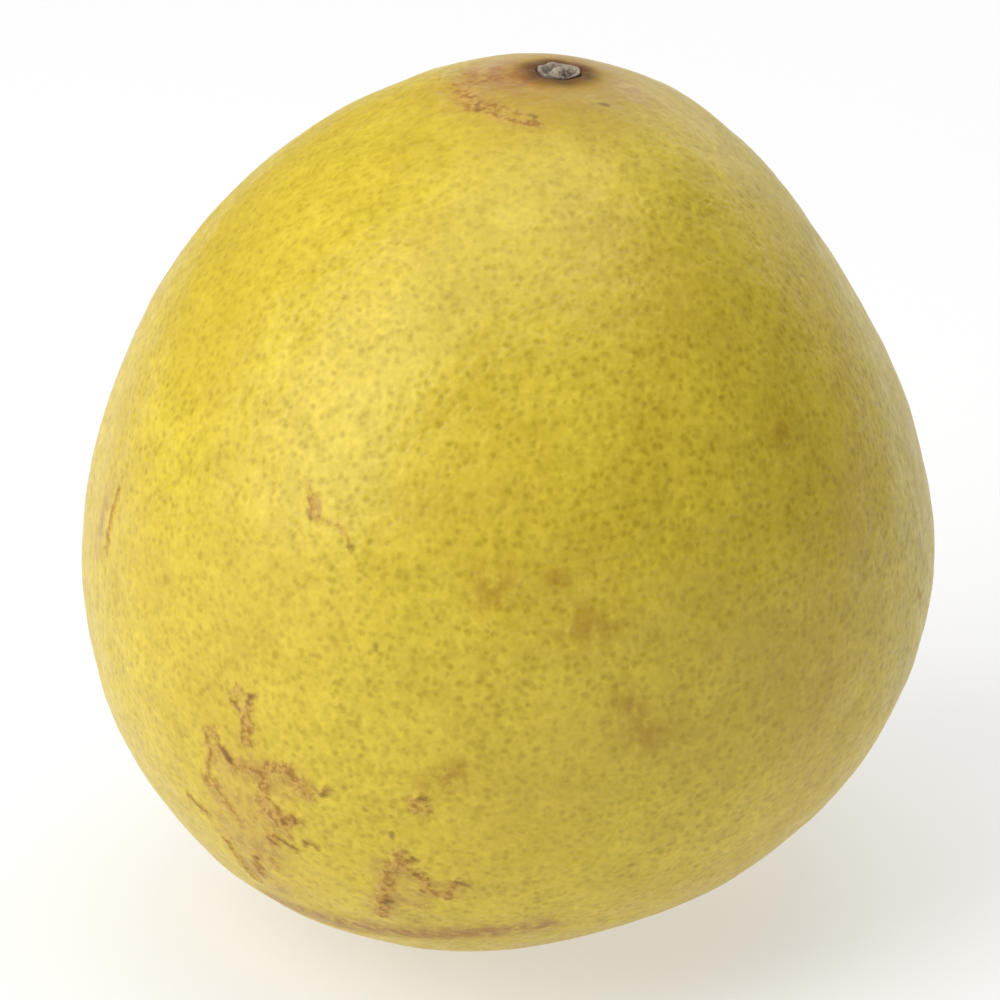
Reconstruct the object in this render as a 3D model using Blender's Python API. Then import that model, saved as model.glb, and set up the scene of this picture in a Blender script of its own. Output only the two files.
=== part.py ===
"""A whole grapefruit that stands on its blossom end, and the woody stem button in its top.

Metres, +Z up. The origin is the middle of the small flat spot that the fruit rests on,
the surface it stands on is z = 0, and the fruit's broadest face looks along -Y.
"""

from collections import namedtuple
from math import cos, exp, pi, radians, sin

import bmesh
import bpy
from mathutils import Matrix, Vector

MM = 0.001

# ---------------------------------------------------------------- driving dimensions
# The rind, as its distance in mm from the middle of the fruit, against the angle in degrees
# down from the upright axis. The stem end is drawn up a little and the lower half is full.
OUTLINE = (
    (0, 55.2),
    (20, 53.4),
    (40, 52.2),
    (60, 52.1),
    (85, 53.2),
    (110, 55.2),
    (135, 55.8),
    (160, 53.3),
    (180, 53.0),
)

# What makes it lopsided. Each swelling lifts the rind by rise mm about the place that is
# down degrees from the top and around degrees anticlockwise from +X, and dies away over
# spread degrees. A negative rise is a flat.
Swelling = namedtuple("Swelling", "down around rise spread")
SWELLINGS = (
    Swelling(down=22, around=340, rise=2.0, spread=25),  # shoulder of the stem end
    Swelling(down=20, around=200, rise=-0.9, spread=28),  # the other shoulder falls away
    Swelling(down=60, around=0, rise=-4.1, spread=32),  # long flat on the right
    Swelling(down=70, around=180, rise=-1.2, spread=35),  # gentler flat on the left
    Swelling(down=125, around=190, rise=1.8, spread=40),  # heavy lower left
    Swelling(down=145, around=240, rise=3.1, spread=33),  # heavy lower front
    Swelling(down=125, around=350, rise=-1.6, spread=40),  # leaner lower right
    Swelling(down=165, around=50, rise=0.7, spread=30),  # underside, opposite the heavy side
)

STEM_DOWN, STEM_AROUND = 5.3, 343.0  # where the stem grew, in degrees as above
DISH_DEPTH, DISH_SPREAD = 0.9 * MM, 8.0  # shallow dish round the stem, and its reach in degrees
FLAT_DEPTH = 0.85 * MM  # how much of the lowest skin the resting place takes off
FOOT_DOWN, FOOT_AROUND = 176.3, 219.0  # the middle of the resting place, in degrees as above

SEGMENTS, RINGS = 72, 46  # of the skin, round it and from the stem to the foot

SOCKET_MOUTH_R, SOCKET_FLOOR_R = 3.4 * MM, 3.1 * MM
SOCKET_DEPTH = 1.5 * MM
BUTTON_GAP = 0.3 * MM  # left between the button and the floor of its socket
BUTTON_R = 2.85 * MM
BUTTON_PROUD = 0.35 * MM  # how far the button's rim stands above the skin
BUTTON_STEPS = 36

RIND_COLOUR, RIND_ROUGHNESS = (0.72, 0.50, 0.055, 1.0), 0.45
BUTTON_COLOUR, BUTTON_ROUGHNESS = (0.24, 0.19, 0.14, 1.0), 0.8


# ---------------------------------------------------------------- the form of the rind
def towards(down, around):
    """Unit vector at these angles, in degrees."""
    theta, phi = radians(down), radians(around)
    return Vector((sin(theta) * cos(phi), sin(theta) * sin(phi), cos(theta)))


STEM = towards(STEM_DOWN, STEM_AROUND)
FOOT = towards(FOOT_DOWN, FOOT_AROUND)
SWOLLEN = [(towards(s.down, s.around), s.rise * MM, radians(s.spread)) for s in SWELLINGS]


def outline_radius(angle):
    """The outline as a smooth curve through its points, level at both ends."""
    knots = [(radians(a), r * MM) for a, r in OUTLINE]
    last = len(knots) - 1

    def slope(i):
        if i in (0, last):
            return 0.0
        (a0, r0), (a1, r1) = knots[i - 1], knots[i + 1]
        return (r1 - r0) / (a1 - a0)

    i = next((n for n in range(last) if angle <= knots[n + 1][0]), last - 1)
    (a0, r0), (a1, r1) = knots[i], knots[i + 1]
    width = a1 - a0
    t = (angle - a0) / width
    return (
        r0 * (2 * t**3 - 3 * t**2 + 1)
        + r1 * (3 * t**2 - 2 * t**3)
        + width * slope(i) * (t**3 - 2 * t**2 + t)
        + width * slope(i + 1) * (t**3 - t**2)
    )


def skin(direction):
    """The point of the rind in this direction from the middle of the fruit."""
    radius = outline_radius(direction.angle(Vector((0, 0, 1)), 0.0))
    for centre, rise, spread in SWOLLEN:
        radius += rise * exp(-((direction.angle(centre, 0.0) / spread) ** 2))
    radius -= DISH_DEPTH * exp(-((direction.angle(STEM, 0.0) / radians(DISH_SPREAD)) ** 2))
    return direction * radius


def skin_normal(direction, step=0.02):
    """Outward normal of the rind in this direction, from two short steps across it."""
    side = direction.orthogonal().normalized()
    other = direction.cross(side)
    across = skin((direction + step * side).normalized()) - skin((direction - step * side).normalized())
    along = skin((direction + step * other).normalized()) - skin((direction - step * other).normalized())
    return across.cross(along).normalized()


# ---------------------------------------------------------------- Blender helpers
def material(name, colour, roughness):
    """A plain Principled material."""
    made = bpy.data.materials.new(name)
    made.use_nodes = True
    shader = made.node_tree.nodes["Principled BSDF"]
    shader.inputs["Base Color"].default_value = colour
    shader.inputs["Roughness"].default_value = roughness
    shader.inputs["Metallic"].default_value = 0.0
    return made


def add_object(name, mesh, parent=None):
    """Links a mesh to the scene as an object."""
    made = bpy.data.objects.new(name, mesh)
    made.parent = parent
    bpy.context.scene.collection.objects.link(made)
    return made


def turned(name, profile, steps, parent, smooth=True):
    """A solid turned about its own Z from (radius, height) points that run down its outer side."""
    mesh = bpy.data.meshes.new(name)
    points = [(radius, 0.0, height) for radius, height in profile]
    mesh.from_pydata(points, [(i, i + 1) for i in range(len(points) - 1)], [])
    made = add_object(name, mesh, parent)
    screw = made.modifiers.new("turn", "SCREW")
    screw.angle = 2 * pi
    screw.steps = screw.render_steps = steps
    screw.use_merge_vertices = True
    screw.merge_threshold = 0.00001
    screw.use_smooth_shade = smooth
    return made


# ---------------------------------------------------------------- the pieces
def make_grapefruit():
    """The fruit as one solid: a sphere grown to its real form, with the resting place cut level."""
    form = bmesh.new()
    bmesh.ops.create_uvsphere(form, u_segments=SEGMENTS, v_segments=RINGS, radius=1.0)
    to_stem = Vector((0, 0, 1)).rotation_difference(STEM)
    to_foot = Vector((0, 0, -1)).rotation_difference(FOOT)
    for vertex in form.verts:
        # The rings lie round the stem at the top and round the resting place at the bottom.
        down = vertex.co.angle(Vector((0, 0, 1))) / pi
        vertex.co = skin(to_stem.slerp(to_foot, down) @ vertex.co.normalized())

    level = min(vertex.co.z for vertex in form.verts) + FLAT_DEPTH
    cut = bmesh.ops.bisect_plane(
        form,
        geom=form.verts[:] + form.edges[:] + form.faces[:],
        dist=1e-7,
        plane_co=(0, 0, level),
        plane_no=(0, 0, -1),
        clear_outer=True,
    )
    rim = [piece for piece in cut["geom_cut"] if isinstance(piece, bmesh.types.BMEdge)]
    bmesh.ops.contextual_create(form, geom=rim)
    bmesh.ops.recalc_face_normals(form, faces=form.faces[:])
    for face in form.faces:
        face.smooth = True
    for edge in rim:
        edge.smooth = False

    mesh = bpy.data.meshes.new("grapefruit")
    form.to_mesh(mesh)
    form.free()
    foot = [v.co for v in mesh.vertices if abs(v.co.z - level) < 1e-6]
    foot_middle = sum(foot, Vector()) / len(foot)
    fruit = add_object("grapefruit", mesh)
    fruit.data.materials.append(material("waxy_rind", RIND_COLOUR, RIND_ROUGHNESS))
    return fruit, Vector((foot_middle.x, foot_middle.y, level))


def make_socket_cutter(seat):
    """What the socket for the button takes out of the fruit. It starts well above the skin."""
    above = 2.0 * MM
    return turned(
        "socket_cutter",
        (
            (0.0, above),
            (SOCKET_MOUTH_R, above),
            (SOCKET_MOUTH_R, 0.0),
            (SOCKET_FLOOR_R, -SOCKET_DEPTH),
            (0.0, -SOCKET_DEPTH),
        ),
        BUTTON_STEPS,
        seat,
        smooth=False,
    )


def make_stem_button(seat):
    """The dried calyx: a cupped woody disc with a raised rim and the broken stub of the stem."""
    rim = BUTTON_PROUD
    foot = BUTTON_GAP - SOCKET_DEPTH
    button = turned(
        "stem_button",
        (
            (0.0, rim + 0.20 * MM),  # top of the stub
            (0.20 * BUTTON_R, rim + 0.15 * MM),
            (0.32 * BUTTON_R, rim - 0.05 * MM),
            (0.38 * BUTTON_R, rim - 0.45 * MM),
            (0.64 * BUTTON_R, rim - 0.55 * MM),  # floor of the cup
            (0.76 * BUTTON_R, rim - 0.15 * MM),
            (0.86 * BUTTON_R, rim),  # crest of the rim
            (0.96 * BUTTON_R, rim - 0.12 * MM),
            (BUTTON_R, rim - 0.45 * MM),
            (0.98 * BUTTON_R, foot + 0.35 * MM),
            (0.88 * BUTTON_R, foot),
            (0.0, foot),
        ),
        BUTTON_STEPS,
        seat,
    )
    button.data.materials.append(material("dry_wood", BUTTON_COLOUR, BUTTON_ROUGHNESS))
    return button


def main():
    for old in list(bpy.data.objects):
        bpy.data.objects.remove(old)

    fruit, foot = make_grapefruit()
    fruit.data.transform(Matrix.Translation(-foot))

    # The seat's origin is where the stem left the skin, and its Z runs out along the stem.
    seat = add_object("stem_seat", None)
    seat.location = skin(STEM) - foot
    seat.rotation_mode = "QUATERNION"
    seat.rotation_quaternion = skin_normal(STEM).to_track_quat("Z", "Y")

    cutter = make_socket_cutter(seat)
    cutter.hide_render = True
    cutter.display_type = "WIRE"
    socket = fruit.modifiers.new("button socket", "BOOLEAN")
    socket.operation = "DIFFERENCE"
    socket.object = cutter
    make_stem_button(seat)


main()
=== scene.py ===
import math
import random

import bpy
import numpy as np
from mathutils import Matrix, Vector


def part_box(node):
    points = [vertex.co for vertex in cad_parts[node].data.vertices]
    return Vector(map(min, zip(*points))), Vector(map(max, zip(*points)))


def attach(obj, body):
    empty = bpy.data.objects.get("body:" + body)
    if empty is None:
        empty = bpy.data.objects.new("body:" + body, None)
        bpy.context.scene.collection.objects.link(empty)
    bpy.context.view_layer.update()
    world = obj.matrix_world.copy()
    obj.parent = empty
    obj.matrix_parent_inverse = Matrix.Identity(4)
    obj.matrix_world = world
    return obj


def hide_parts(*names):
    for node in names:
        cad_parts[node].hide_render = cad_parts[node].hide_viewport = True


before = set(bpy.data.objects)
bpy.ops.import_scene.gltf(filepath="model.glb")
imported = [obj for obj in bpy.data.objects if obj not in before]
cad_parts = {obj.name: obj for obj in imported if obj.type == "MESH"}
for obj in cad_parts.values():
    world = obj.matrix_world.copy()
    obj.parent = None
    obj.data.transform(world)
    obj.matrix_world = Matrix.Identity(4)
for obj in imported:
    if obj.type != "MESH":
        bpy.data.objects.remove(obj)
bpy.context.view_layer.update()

MM = 0.001

# ------------------------------------------------------------------ the whole fruit
# A grapefruit is one body with a waxy peel drawn tight over it. A ball is drawn in on to the
# packed fruit, its facets are eased away, and it is divided finely where the stem sat and where
# the peel is scarred, so that those can be raised and sunk in the mesh itself.
fruit_low, fruit_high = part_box("grapefruit")
fruit_middle = (fruit_low + fruit_high) / 2


def towards(down, around):
    """Unit vector at these angles in degrees: down from the top, anticlockwise round from +X."""
    theta, phi = math.radians(down), math.radians(around)
    return Vector((math.sin(theta) * math.cos(phi), math.sin(theta) * math.sin(phi), math.cos(theta)))


def points_of(piece):
    """The places of a piece's vertices, one row each."""
    places = np.empty(len(piece.data.vertices) * 3)
    piece.data.vertices.foreach_get("co", places)
    return places.reshape(-1, 3)


def work_on(piece):
    """Makes this piece the only one that is selected, and the active one."""
    bpy.ops.object.select_all(action="DESELECT")
    piece.select_set(True)
    bpy.context.view_layer.objects.active = piece


def finish_with(piece, kind, **settings):
    """Adds a modifier with these settings and applies it."""
    modifier = piece.modifiers.new(kind.lower(), kind)
    for setting, value in settings.items():
        setattr(modifier, setting, value)
    work_on(piece)
    bpy.ops.object.modifier_apply(modifier=modifier.name)


def edit_faces(piece, chosen):
    """Opens the piece in edit mode with only the chosen faces selected, one truth for each face."""
    work_on(piece)
    bpy.ops.object.mode_set(mode="EDIT")
    bpy.ops.mesh.select_mode(type="FACE")
    bpy.ops.mesh.select_all(action="DESELECT")
    bpy.ops.object.mode_set(mode="OBJECT")
    piece.data.polygons.foreach_set("select", np.asarray(chosen, bool))
    bpy.ops.object.mode_set(mode="EDIT")


def face_centres(piece):
    """The middles of a piece's faces, one row each."""
    centres = np.empty(len(piece.data.polygons) * 3)
    piece.data.polygons.foreach_get("center", centres)
    return centres.reshape(-1, 3)


def sink_or_raise(piece, by, most):
    """Moves the surface along its own normals: most metres where by is 1, and none where it is 0."""
    group = piece.vertex_groups.new(name="push")
    for vertex in np.flatnonzero(by > 0.002):
        group.add([int(vertex)], float(by[vertex]), "REPLACE")
    finish_with(piece, "DISPLACE", vertex_group="push", strength=most, mid_level=0.0)
    piece.vertex_groups.remove(piece.vertex_groups["push"])


def swell(piece, size, most, depth=2):
    """Lets a soft irregular noise of this size push the surface in and out by half of most."""
    texture = bpy.data.textures.new("swell", "CLOUDS")
    texture.noise_scale = size
    texture.noise_depth = depth
    finish_with(piece, "DISPLACE", texture=texture, texture_coords="LOCAL", strength=most, mid_level=0.5)
    bpy.data.textures.remove(texture)


# The seat of the stem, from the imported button: a disc is thinnest along its own axis, and its
# flat base lies this far under the skin.
BUTTON_UNDER_SKIN = 1.2 * MM
SOCKET_R = 3.4 * MM
button_points = points_of(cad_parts["stem_button"])
button_centre = button_points.mean(axis=0)
stem_axis = np.linalg.svd(button_points - button_centre)[2][2]
stem_axis *= np.sign(stem_axis[2])
button_base = ((button_points - button_centre) @ stem_axis).min()
seat = button_centre + (button_base + BUTTON_UNDER_SKIN) * stem_axis


def from_stem(places):
    """How far these places are out from the stem's line, and round it in radians from +X."""
    off = places - seat
    out = off - np.outer(off @ stem_axis, stem_axis)
    return np.linalg.norm(out, axis=1), np.arctan2(out[:, 1], out[:, 0])


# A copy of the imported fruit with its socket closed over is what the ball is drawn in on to.
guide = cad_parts["grapefruit"].copy()
guide.data = guide.data.copy()
guide.parent = None
for note in list(guide.keys()):
    del guide[note]
bpy.context.scene.collection.objects.link(guide)
edit_faces(guide, np.ones(len(guide.data.polygons), bool))
bpy.ops.mesh.remove_doubles(threshold=0.001 * MM)
bpy.ops.object.mode_set(mode="OBJECT")
centres = face_centres(guide)
edit_faces(guide, (from_stem(centres)[0] < SOCKET_R) & (centres[:, 2] > fruit_middle.z))
bpy.ops.mesh.delete(type="FACE")
bpy.ops.mesh.select_mode(type="EDGE")
bpy.ops.mesh.select_non_manifold()
bpy.ops.mesh.edge_face_add()
bpy.ops.object.mode_set(mode="OBJECT")

bpy.ops.object.select_all(action="DESELECT")
bpy.ops.mesh.primitive_ico_sphere_add(subdivisions=6, radius=70 * MM, location=fruit_middle)
fruit = bpy.context.object
fruit.name = "fruit"
bpy.ops.object.transform_apply(location=True, rotation=True, scale=True)
finish_with(
    fruit, "SHRINKWRAP", target=guide, wrap_method="PROJECT",
    use_positive_direction=False, use_negative_direction=True,
)
finish_with(fruit, "SMOOTH", factor=0.5, iterations=12)
finish_with(fruit, "SUBSURF", levels=1, render_levels=1)
bpy.data.objects.remove(guide)

# The marks on the peel. Each is a line on the skin: half its width in mm, then its places as
# degrees down from the top and round from +X, seen from the middle of the fruit.
CORKY_MARKS = (
    # healed rub that curves round the stem end
    (0.3, (7.5, 203), (8.5, 222)),
    (0.9, (8.5, 222), (10, 240), (12, 254)),
    (0.45, (12, 254), (14, 266), (16, 283)),
    (0.2, (10, 256), (12, 264), (14, 281)),
    # small rub on the shoulder of the broad face
    (0.02, (70, 242), (74, 243)),
    (0.02, (74, 243), (74.5, 247), (77, 249.5)),
    # hook at the top of the big patch, low on the left of the broad face
    (0.4, (98.5, 234), (100.5, 232.5), (101.5, 235)),
    (0.35, (99, 236), (101.5, 235)),
    (0.85, (102, 235), (103.5, 235)),
    (0.6, (103.5, 235), (105.5, 234.5)),
    # specks and a thin line left of it
    (0.55, (105.5, 229), (106.5, 229.5)),
    (0.8, (108, 230), (109.5, 232)),
    (0.25, (106, 227.5), (109, 228), (114, 226)),
    # seam that wanders right, and its lumps
    (0.4, (109, 233.5), (109.5, 236.5), (108, 239)),
    (0.75, (108.5, 237.5), (108, 241)),
    (0.45, (108, 241), (110.5, 242.5), (111.5, 243.5)),
    (0.25, (111, 243.5), (109.5, 247)),
    (0.65, (110, 237), (114, 236)),
    (0.5, (113.5, 227.5), (117, 229.5)),
    (0.4, (118, 220.5), (119.5, 223.5)),
    # knot of brown cork, and the scratches that leave it
    (0.85, (115, 238), (116, 239), (115.5, 240.5)),
    (0.5, (115.5, 236.5), (118.5, 239)),
    (0.7, (119.5, 235.5), (120.5, 236)),
    (0.3, (119, 236), (120.5, 239.5)),
    (0.25, (119, 241.5), (119.5, 243)),
    # foot of the patch, where it runs under the fruit
    (0.6, (124.5, 231), (128, 229.5)),
    (0.5, (124.5, 234), (125.5, 234)),
    (0.5, (123.5, 225.5), (128, 226), (130.5, 226.5)),
    # the second patch, low in the middle
    (0.3, (109.5, 257.5), (109, 259.5), (111, 259.5), (111, 258), (109.5, 257.5)),
    (0.95, (118.5, 255.5), (120, 255)),
    (0.5, (120.5, 255.5), (122.5, 258.5), (124.5, 258), (125.5, 261)),
    (0.3, (125.5, 260.5), (122.5, 263), (123, 264.5)),
    (0.65, (120.5, 254), (125, 252), (131, 250)),
    # scuff on the left side, and nick on the right
    (0.45, (82, 203), (90, 202.5)),
    (0.25, (96.5, 338.5), (97.5, 340)),
)
DARK_MARKS = (
    # round the stem end
    (0.2, (11, 249), (12.5, 252)),
    (0.25, (14, 281), (14.5, 283)),
    (0.35, (15.5, 319.5), (16, 320.5)),
    # on the broad face
    (0.25, (74, 242.5), (74.5, 243)),
    (0.3, (77, 249), (77, 249.5)),
    (0.2, (89, 253.5), (89.5, 253.5)),
    (0.25, (115, 254.5), (115.5, 254.5)),
    # in the big patch
    (0.3, (99, 236), (100, 235.5)),
    (0.25, (100.5, 233), (101.5, 234)),
    (0.45, (108, 230.5), (109, 231.5)),
    (0.35, (110.5, 245.5), (110.5, 246)),
    (0.3, (118, 221), (119, 222)),
    (0.3, (116, 238.5), (116.5, 238.5)),
    (0.25, (115, 240.5), (116, 240.5)),
    (0.3, (120, 235), (120.5, 236)),
    (0.15, (119.5, 237), (120.5, 239.5)),
    (0.2, (119, 241.5), (119, 242.5)),
    (0.2, (124.5, 231), (127, 230)),
    # in the second patch
    (0.3, (118.5, 257), (119, 257.5)),
    (0.25, (121.5, 256.5), (121.5, 257)),
    (0.2, (109, 258.5), (109, 259.5)),
    (0.4, (127.5, 252), (128, 251.5)),
    (0.2, (122.5, 262.5), (123, 264.5)),
)
# Ochre stains in the peel itself, with no cork on them, and painted shade in a line low on the front.
# From here on the first number is how far the mark fades out, in mm.
STAINS_AND_FOOT_SHADE = (
    (2.6, (97, 285)),
    (2.9, (101, 287)),
    (3.0, (81, 268)),
    (3.4, (86, 280)),
    (1.8, (80, 276)),
    (2.6, (66, 312)),
    (1.8, (107, 260), (105, 264)),
    # painted shade: an ochre line low on the front, where the fruit turns under towards the floor
    (1.3, (137, 228), (138, 241), (135, 265)),
    (1.0, (132, 256)),
)
# Peel that was rubbed when young: paler, greyer and netted all over with fine russet. On the left edge and
# beside the stem the paleness is partly painted sheen, laid over real scuffs.
RUBBED_AND_SHEEN = (
    (3.4, (115, 229), (117, 231), (116, 236)),
    (3.8, (121, 228), (122, 233)),
    (3.0, (128, 229), (130, 231)),
    (2.8, (110, 230), (110, 242)),
    (3.4, (122, 254), (126, 256)),
    (2.4, (125, 252), (130, 251)),
    (2.2, (124, 261)),
    (2.0, (9, 228), (11, 246)),
    # partly painted sheen beside the stem, over a real pale scuff
    (2.4, (15, 349), (17, 341)),
    # partly painted sheen on the left edge, over a real scuff
    (1.8, (83, 199), (91, 199)),
    (0.8, (72, 243), (74, 244)),
)
# Golden brown where the peel dried round the stem, and painted shade in a line low on the front.
STEM_FLUSH_AND_FOOT_SHADE = (
    (4.6, (4, 290)),
    (5.6, (3, 232)),
    (3.4, (8, 20)),
    # painted shade: a brown line low on the front, where the fruit turns under towards the floor
    (2.2, (136, 226), (136, 254), (134, 276)),
)
FAR_SIDE_SEED = 11


def on_skin(down, around):
    """The point of the fruit's skin at these angles."""
    hit, place, normal, face = fruit.ray_cast(fruit_middle, towards(down, around))
    return np.array(place)


def off_line(places, line):
    """How far each place is from a line on the skin, in mm."""
    stops = [on_skin(*line[0])]
    for (down, around), (next_down, next_around) in zip(line, line[1:]):
        for step in (1 / 3, 2 / 3, 1.0):
            stops.append(on_skin(down + step * (next_down - down), around + step * (next_around - around)))
    nearest = np.linalg.norm(places - stops[0], axis=1)
    for start, end in zip(stops, stops[1:]):
        run = end - start
        share = np.clip((places - start) @ run / (run @ run), 0, 1)
        nearest = np.minimum(nearest, np.linalg.norm(places - start - share[:, None] * run, axis=1))
    return nearest / MM


def off_marks(places, marks, furthest=4.0):
    """How far each place is from the edge of the nearest mark, in mm, and less than 0 inside it."""
    nearest = np.full(len(places), furthest)
    for half, *line in marks:
        nearest = np.minimum(nearest, off_line(places, line) - half)
    return nearest


def fading(places, marks):
    """From 1 in the middle of each mark to 0 well outside it."""
    most = np.zeros(len(places))
    for reach, *line in marks:
        most = np.maximum(most, np.exp(-((off_line(places, line) / reach) ** 2)))
    return most


# The far side has the same kinds of marks, scattered: no fruit is marked on one face only.
scatter = random.Random(FAR_SIDE_SEED)
far_marks, far_stains = [], []
for number in range(26):
    down, around = scatter.uniform(35, 140), scatter.uniform(10, 175)
    lean = scatter.uniform(-3, 3)
    length = scatter.choice((0.3, 0.5, 2.5))
    end = (down + length, around + lean * length / 3)
    far_marks.append((scatter.uniform(0.15, 0.3), (down, around), end))
for number in range(5):
    far_stains.append((scatter.uniform(2, 4), (scatter.uniform(50, 125), scatter.uniform(20, 165))))

centres = face_centres(fruit)
near_stem = (from_stem(centres)[0] < 6.5 * MM) & (centres[:, 2] > fruit_middle.z)
edit_faces(fruit, near_stem)
bpy.ops.mesh.subdivide(number_cuts=3)
bpy.ops.object.mode_set(mode="OBJECT")
centres = face_centres(fruit)
near_marks = off_marks(centres, CORKY_MARKS + DARK_MARKS) < 1.0
near_stem = (from_stem(centres)[0] < 7.3 * MM) & (centres[:, 2] > fruit_middle.z)
edit_faces(fruit, near_marks & ~near_stem)
bpy.ops.mesh.subdivide(number_cuts=2)
bpy.ops.object.mode_set(mode="OBJECT")

# The peel isn't even: slow waves from the segments under it, a soft ridge down the broad face,
# and puckers where it draws in to the stem.
swell(fruit, 16 * MM, 0.7 * MM)
swell(fruit, 4.5 * MM, 0.16 * MM)
RIDGE = (9.0, (27, 247), (45, 251), (58, 253), (70, 250), (79, 248), (89, 247))
sink_or_raise(fruit, fading(points_of(fruit), [RIDGE]), 0.50 * MM)

places = points_of(fruit)
out, turn = from_stem(places)
out = np.where(places[:, 2] > fruit_middle.z, out / MM, 99.0)
WELL_R, WELL_LIP = 2.45, 2.78
well = 1 - np.clip((out - WELL_R) / (WELL_LIP - WELL_R), 0, 1)
sink_or_raise(fruit, well * well * (3 - 2 * well), -1.25 * MM)
folds = 0.5 + 0.5 * np.cos(7 * turn + 1.2 * np.sin(2 * turn) + 0.4)
fade = np.exp(-(((out - 3.9) / 1.1) ** 2))
sink_or_raise(fruit, folds * fade, 0.22 * MM)
sink_or_raise(fruit, np.exp(-(((out - 3.35) / 0.35) ** 2)), 0.10 * MM)

places = points_of(fruit)
cork_off = off_marks(places, CORKY_MARKS)
sink_or_raise(fruit, np.clip(0.5 - cork_off / 0.5, 0, 1), 0.07 * MM)

# Only the skin it rests on is level, at the floor.
places = points_of(fruit)
below = np.clip(-places[:, 2] / MM, 0, 1)
group = fruit.vertex_groups.new(name="under")
for vertex in np.flatnonzero(below > 0):
    group.add([int(vertex)], float(below[vertex]), "REPLACE")
finish_with(
    fruit, "DISPLACE", vertex_group="under", direction="Z", space="GLOBAL", strength=MM, mid_level=0.0
)
fruit.vertex_groups.remove(fruit.vertex_groups["under"])
fruit.data.shade_smooth()

# What the peel's colours and gloss follow is kept on the mesh.
places = points_of(fruit)
out = from_stem(places)[0]
kept = {
    "cork_mm": off_marks(places, CORKY_MARKS + tuple(far_marks)),
    "dark_mm": off_marks(places, DARK_MARKS),
    "stain_and_foot_shade": fading(places, STAINS_AND_FOOT_SHADE + tuple(far_stains)),
    "rubbed_and_sheen": fading(places, RUBBED_AND_SHEEN),
    "flush_and_foot_shade": fading(places, STEM_FLUSH_AND_FOOT_SHADE),
    "stem_mm": np.where(places[:, 2] > fruit_middle.z, out / MM, 99.0),
}
for name, values in kept.items():
    fruit.data.attributes.new(name, "FLOAT", "POINT").data.foreach_set("value", values.astype(np.float32))


def linear(hex_colour):
    """An sRGB hex colour as linear red, green, blue and 1."""
    parts = [int(hex_colour[i:i + 2], 16) / 255 for i in (1, 3, 5)]
    return [c / 12.92 if c <= 0.04045 else ((c + 0.055) / 1.055) ** 2.4 for c in parts] + [1.0]


def new_material(name):
    """An empty material of this name, with its shader and its output joined."""
    made = bpy.data.materials.new(name)
    made.use_nodes = True
    return made, made.node_tree.nodes["Principled BSDF"]


def add(material, kind, inputs=(), **settings):
    """Adds a node. inputs pairs a socket's name or number with a value, or with a socket to link from."""
    node = material.node_tree.nodes.new("ShaderNode" + kind)
    for setting, value in settings.items():
        setattr(node, setting, value)
    for socket, value in dict(inputs).items():
        if isinstance(value, bpy.types.NodeSocket):
            material.node_tree.links.new(value, node.inputs[socket])
        else:
            node.inputs[socket].default_value = value
    return node


# Citrus rind, grown and lightly waxed: a clear yellow that is freckled with sunken oil glands,
# with a soft broad shine. Its scars are dry cork, tan with brown specks, and have no shine.
rind, shader = new_material("waxy grapefruit rind")
# The glands are cells in the solid, cut by the skin at every depth, so the dots that show are
# fewer than the cells and lie further apart than this.
GLAND_CELL = 1.12 * MM
at = add(rind, "TexCoord").outputs["Object"]


def kept_value(name):
    """A value that was kept on the mesh."""
    return add(rind, "Attribute", attribute_name=name).outputs["Fac"]


def noise_of(size, detail=2.0, roughness=0.5, vector=at):
    """Noise with features of this size, from 0 to 1."""
    return add(
        rind, "TexNoise", {"Vector": vector, "Scale": 1 / size, "Detail": detail, "Roughness": roughness}
    ).outputs["Fac"]


def ramp(value, low, high, at_low=0.0, at_high=1.0):
    """A smooth step of value from low to high."""
    return add(
        rind, "MapRange",
        {"Value": value, "From Min": low, "From Max": high, "To Min": at_low, "To Max": at_high},
        interpolation_type="SMOOTHSTEP",
    ).outputs["Result"]


def work_out(operation, first, second=0.0):
    """Two values put together."""
    return add(rind, "Math", {0: first, 1: second}, operation=operation).outputs[0]


def blend(share, first, second):
    """Two colours put together."""
    return add(
        rind, "Mix", {"Factor": share, 6: first, 7: second}, data_type="RGBA"
    ).outputs[2]


def bent(size, most):
    """The places, wandering by noise of this size and by half of most either way."""
    swirl = add(rind, "TexNoise", {"Vector": at, "Scale": 1 / size, "Detail": 2.0}).outputs["Color"]
    swirl = add(rind, "VectorMath", {0: swirl, 1: (0.5, 0.5, 0.5)}, operation="SUBTRACT").outputs[0]
    swirl = add(rind, "VectorMath", {0: swirl, "Scale": most}, operation="SCALE").outputs[0]
    return add(rind, "VectorMath", {0: at, 1: swirl}, operation="ADD").outputs[0]


glands = add(
    rind, "TexVoronoi", {"Vector": bent(1.1 * MM, 0.9 * MM), "Scale": 1 / GLAND_CELL, "Randomness": 0.85,
                           "Smoothness": 0.35},
    feature="SMOOTH_F1",
)
from_gland = glands.outputs["Distance"]
gland = ramp(from_gland, 0.62, -0.12)
chance = add(rind, "SeparateColor", {0: glands.outputs["Color"]}).outputs[0]
shade_of_gland = ramp(chance, 0.0, 1.0, 0.35, 1.0)
stem_mm = kept_value("stem_mm")
freckle = work_out("MULTIPLY", gland, shade_of_gland)
freckle = work_out("MULTIPLY", freckle, ramp(stem_mm, 12.0, 48.0, 0.35, 1.0))


def uneven(size, share, detail=1.0):
    """A share of noise of this size, about zero."""
    return work_out("MULTIPLY", work_out("SUBTRACT", noise_of(size, detail), 0.5), share)


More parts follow.
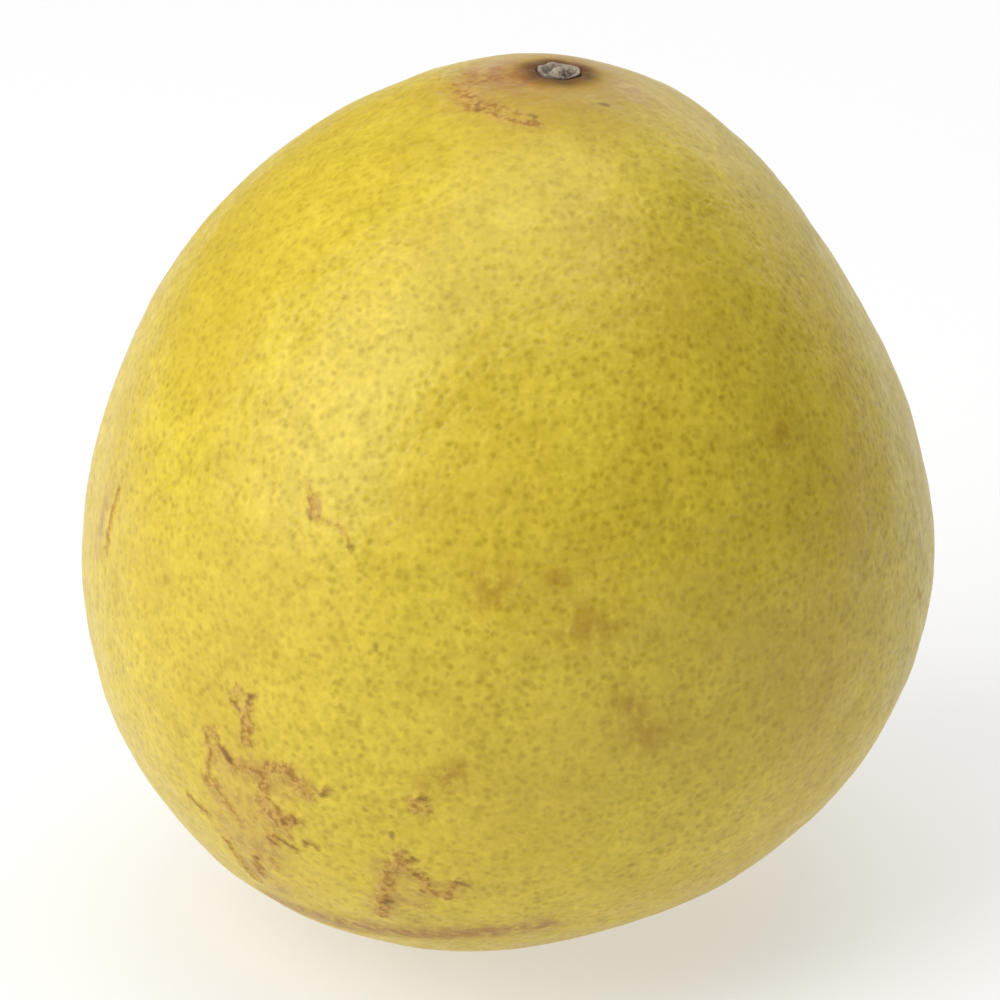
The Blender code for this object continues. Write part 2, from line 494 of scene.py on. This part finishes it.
# Between the glands the skin is a lighter, finely uneven net; over more of it, it drifts between
# a greener and a warmer yellow.
light = work_out("ADD", 0.53, uneven(0.6 * MM, 0.22))
for size, share in ((1.2 * MM, 0.46), (2.6 * MM, 0.38), (7.0 * MM, 0.34)):
    light = work_out("ADD", light, uneven(size, share))
light = work_out("SUBTRACT", light, work_out("MULTIPLY", freckle, 0.27))
light = work_out("ADD", light, ramp(from_gland, 0.20, 0.55, 0.0, 0.12))
yellow = blend(light, linear("#A68B0E"), linear("#ECD344"))
peel = blend(work_out("MULTIPLY", ramp(noise_of(22 * MM, 3), 0.40, 0.70), 0.30), yellow, linear("#C9A93A"))

ragged_stem = work_out("ADD", stem_mm, work_out("MULTIPLY", noise_of(2.5 * MM, 4, 0.65), 7.0))
peel = blend(ramp(ragged_stem, 8.0, 24.0, 0.85, 0.0), peel, linear("#AD8726"))
# The peel's own golden brown round the stem, and painted shade in a line low on the front.
flush_and_foot_shade = work_out("MULTIPLY", kept_value("flush_and_foot_shade"), ramp(noise_of(1.8 * MM, 4, 0.65), 0.25, 0.60))
peel = blend(work_out("MULTIPLY", flush_and_foot_shade, 0.88), peel, linear("#9C5F18"))
# Painted shade: dark brown laid in the groove and puckers round the button, from 3.3 to 6 mm out from the
# stem.
peel = blend(ramp(stem_mm, 3.3, 6.0, 0.90, 0.0), peel, linear("#5E3910"))

# Real ochre stains, and the painted shade line low on the front.
stain_and_foot_shade = work_out("MULTIPLY", kept_value("stain_and_foot_shade"), ramp(noise_of(1.9 * MM, 3, 0.6), 0.30, 0.60))
peel = blend(work_out("MULTIPLY", stain_and_foot_shade, 0.60), peel, linear("#A67414"))

# Rubbed peel is a little greyed, and lies mottled with fine russet; its paleness on the left edge and
# beside the stem is partly painted sheen.
rubbed_and_sheen = kept_value("rubbed_and_sheen")
ragged_rub_and_sheen = ramp(work_out("ADD", rubbed_and_sheen, uneven(2.2 * MM, 1.2, 4.0)), 0.20, 0.90)
peel = blend(work_out("MULTIPLY", ragged_rub_and_sheen, 0.50), peel, linear("#CBA54C"))
mottle = ramp(noise_of(1.7 * MM, 3, 0.65, bent(1.6 * MM, 1.6 * MM)), 0.42, 0.64)
mottle = work_out("MULTIPLY", mottle, ramp(work_out("ADD", rubbed_and_sheen, uneven(3.0 * MM, 0.8)), 0.15, 0.75))
peel = blend(work_out("MULTIPLY", mottle, 0.55), peel, linear("#A67B32"))

# Corky scars are tan and soft-edged, mottled with brown; the oldest are dark.
wander = work_out("ADD", uneven(1.4 * MM, 1.9, 2.0), uneven(0.6 * MM, 1.0, 2.0))
cork = ramp(work_out("ADD", kept_value("cork_mm"), wander), 0.75, -0.45)
cork_tone = blend(ramp(noise_of(0.8 * MM, 3, 0.6), 0.38, 0.62), linear("#CBA252"), linear("#9B6B26"))
peel = blend(work_out("MULTIPLY", cork, 0.84), peel, cork_tone)
dark = ramp(work_out("ADD", kept_value("dark_mm"), work_out("MULTIPLY", wander, 0.35)), 0.36, -0.30)
peel = blend(work_out("MULTIPLY", dark, 0.66), peel, linear("#684417"))
rind.node_tree.links.new(peel, shader.inputs["Base Color"])

height_mm = ramp(from_gland, -0.1, 0.65, 0.0, 0.05)
height_mm = work_out("ADD", height_mm, work_out("MULTIPLY", noise_of(1.1 * MM, 1), 0.05))
height_mm = work_out("ADD", height_mm, work_out("MULTIPLY", noise_of(2.6 * MM, 2), 0.16))
height_mm = work_out("ADD", height_mm, work_out("MULTIPLY", cork, 0.06))
bump = add(rind, "Bump", {"Height": height_mm, "Distance": MM, "Strength": 1.0})
rind.node_tree.links.new(bump.outputs["Normal"], shader.inputs["Normal"])
gloss = work_out("ADD", ramp(noise_of(3 * MM, 3), 0.3, 0.7, 0.33, 0.42), work_out("MULTIPLY", cork, 0.3))
gloss = work_out("ADD", gloss, ramp(stem_mm, 3.5, 8.0, 0.35, 0.0))
rind.node_tree.links.new(gloss, shader.inputs["Roughness"])
shader.inputs["IOR"].default_value = 1.42

fruit.data.materials.append(rind)
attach(fruit, "root")
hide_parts("grapefruit")

# ------------------------------------------------------------------ the stem button
# The dried calyx that stays in the fruit when the stem breaks off: a woody cup with a raised,
# weathered rim, the broken stub in the middle, and a hollow beside it where the wood has torn.
BUTTON_R = 2.68 * MM
BUTTON_RIM = 0.35 * MM
bpy.ops.object.select_all(action="DESELECT")
bpy.ops.mesh.primitive_cylinder_add(
    vertices=60, radius=BUTTON_R, depth=BUTTON_UNDER_SKIN + BUTTON_RIM,
    location=(0, 0, (BUTTON_RIM - BUTTON_UNDER_SKIN) / 2),
)
button = bpy.context.object
button.name = "button"
bpy.ops.object.transform_apply(location=True, rotation=True, scale=True)
top = [face.normal.z > 0.9 for face in button.data.polygons]
edit_faces(button, top)
for inward, sink in (
    (0.12, 0.00), (0.22, 0.02), (0.22, -0.10), (0.16, -0.36), (0.35, -0.22), (0.50, 0.02),
    (0.20, 0.16), (0.12, 0.44), (0.14, 0.14), (0.20, 0.04), (0.25, 0.00),
):
    bpy.ops.mesh.inset(thickness=inward * MM, depth=0)
    bpy.ops.transform.translate(value=(0, 0, sink * MM))
bpy.ops.object.mode_set(mode="OBJECT")
finish_with(button, "SUBSURF", levels=2, render_levels=2)
places = points_of(button)
out = np.hypot(places[:, 0], places[:, 1]) / MM
turn = np.arctan2(places[:, 1], places[:, 0])
upper = places[:, 2] > -0.5 * MM
waves = 0.5 + 0.5 * np.cos(5 * turn + 0.8 * np.sin(3 * turn))
sink_or_raise(button, np.where(upper, waves * np.exp(-(((out - 2.35) / 0.5) ** 2)), 0), -0.22 * MM)
TORN_AT = np.array((1.35, -0.15))
torn = np.exp(-((np.linalg.norm(places[:, :2] / MM - TORN_AT, axis=1) / 0.62) ** 2))
sink_or_raise(button, np.where(upper, torn, 0), -0.80 * MM)
swell(button, 0.9 * MM, 0.12 * MM, 3)
button.data.shade_smooth()
# Painted shade, brown-black, for the torn hollow, the sunken ring of the cup and the outer edge where the
# button meets the peel.
places = points_of(button)
out = np.hypot(places[:, 0], places[:, 1]) / MM
torn = np.exp(-((np.linalg.norm(places[:, :2] / MM - TORN_AT, axis=1) / 0.62) ** 2))
hollow = np.exp(-(((out - 1.55) / 0.40) ** 2)) * 0.75
shade = np.clip(np.maximum(torn * 1.2, hollow), 0, 1)
shade = np.maximum(shade, np.clip((out - 2.45) / 0.25, 0, 1) * 0.8)
button.data.attributes.new("shade", "FLOAT", "POINT").data.foreach_set("value", shade.astype(np.float32))
button.rotation_mode = "QUATERNION"
button.rotation_quaternion = Vector((0, 0, 1)).rotation_difference(Vector(stem_axis))
button.location = seat
work_on(button)
bpy.ops.object.transform_apply(location=True, rotation=True, scale=True)

# Dry wood, weathered grey, pale and dusty; the brown-black in the torn hollow, the sunken ring of the cup
# and round its edge is painted shade.
wood, shader = new_material("weathered dry wood")
at_button = add(wood, "TexCoord").outputs["Object"]
grain = add(
    wood, "TexNoise", {"Vector": at_button, "Scale": 1 / (0.35 * MM), "Detail": 5.0, "Roughness": 0.7}
).outputs["Fac"]
grain = add(wood, "MapRange", {"Value": grain, "From Min": 0.35, "From Max": 0.65}).outputs["Result"]
weathered = add(
    wood, "Mix", {"Factor": grain, 6: linear("#84725C"), 7: linear("#CBBEAA")}, data_type="RGBA"
).outputs[2]
shade_in_hollows = add(wood, "Attribute", attribute_name="shade").outputs["Fac"]
wood_and_painted_shade = add(
    wood, "Mix", {"Factor": shade_in_hollows, 6: weathered, 7: linear("#2E2016")}, data_type="RGBA"
).outputs[2]
wood.node_tree.links.new(wood_and_painted_shade, shader.inputs["Base Color"])
bump = add(wood, "Bump", {"Height": grain, "Distance": 0.06 * MM, "Strength": 1.0})
wood.node_tree.links.new(bump.outputs["Normal"], shader.inputs["Normal"])
shader.inputs["Roughness"].default_value = 0.85
shader.inputs["IOR"].default_value = 1.5

button.data.materials.append(wood)
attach(button, "root")
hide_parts("stem_button")

# ------------------------------------------------------------------ the floor and the light
# A white sweep that the fruit rests on, lit by one large soft light from the upper left and by
# a white surround.
bpy.ops.object.select_all(action="DESELECT")
bpy.ops.mesh.primitive_plane_add(size=12, location=(0, 0, 0))
floor = bpy.context.object
floor.name = "floor"
paper, shader = new_material("matt white paper")
shader.inputs["Base Color"].default_value = linear("#BCBCBC")
shader.inputs["Roughness"].default_value = 1.0
shader.inputs["Specular IOR Level"].default_value = 0.0
shader.inputs["Emission Color"].default_value = linear("#FFFFFF")
shader.inputs["Emission Strength"].default_value = 0.5
floor.data.materials.append(paper)

world = bpy.data.worlds.new("white surround")
bpy.context.scene.world = world
world.use_nodes = True
world.node_tree.nodes["Background"].inputs["Color"].default_value = (1, 1, 1, 1)
world.node_tree.nodes["Background"].inputs["Strength"].default_value = 0.1

# Each soft box: degrees round from +X, degrees up, wide and high in metres, and watts.
SOFT_BOXES = {
    "key light": (208, 36, 1.1, 1.4, 15.0),
    "top light": (0, 86, 0.9, 0.9, 6.2),
    "back light": (70, 28, 1.4, 1.0, 5.4),
}
SOFT_BOX_AWAY = 1.2
for name, (around, up, wide, high, watts) in SOFT_BOXES.items():
    soft_box = bpy.data.objects.new(name, bpy.data.lights.new(name, "AREA"))
    soft_box.data.shape = "RECTANGLE"
    soft_box.data.size = wide
    soft_box.data.size_y = high
    soft_box.data.energy = watts
    soft_box.location = fruit_middle + SOFT_BOX_AWAY * towards(90 - up, around)
    soft_box.rotation_mode = "QUATERNION"
    soft_box.rotation_quaternion = (fruit_middle - soft_box.location).to_track_quat("-Z", "Y")
    bpy.context.scene.collection.objects.link(soft_box)

# ------------------------------------------------------------------ the camera
# A long lens, level with nothing: it looks down on the fruit's broad face.
camera = bpy.data.objects.new("camera", bpy.data.cameras.new("camera"))
camera.data.lens = 180
camera.data.sensor_width = 36
LOOK_DOWN = math.radians(22)
aim = fruit_middle + Vector((-1.03, -2.60, -0.81)) * MM
camera.location = aim + 617.8 * MM * Vector((0, -math.cos(LOOK_DOWN), math.sin(LOOK_DOWN)))
camera.rotation_mode = "QUATERNION"
camera.rotation_quaternion = (aim - camera.location).to_track_quat("-Z", "Y")
bpy.context.scene.collection.objects.link(camera)
bpy.context.scene.camera = camera
bpy.context.scene.view_settings.view_transform = "Standard"
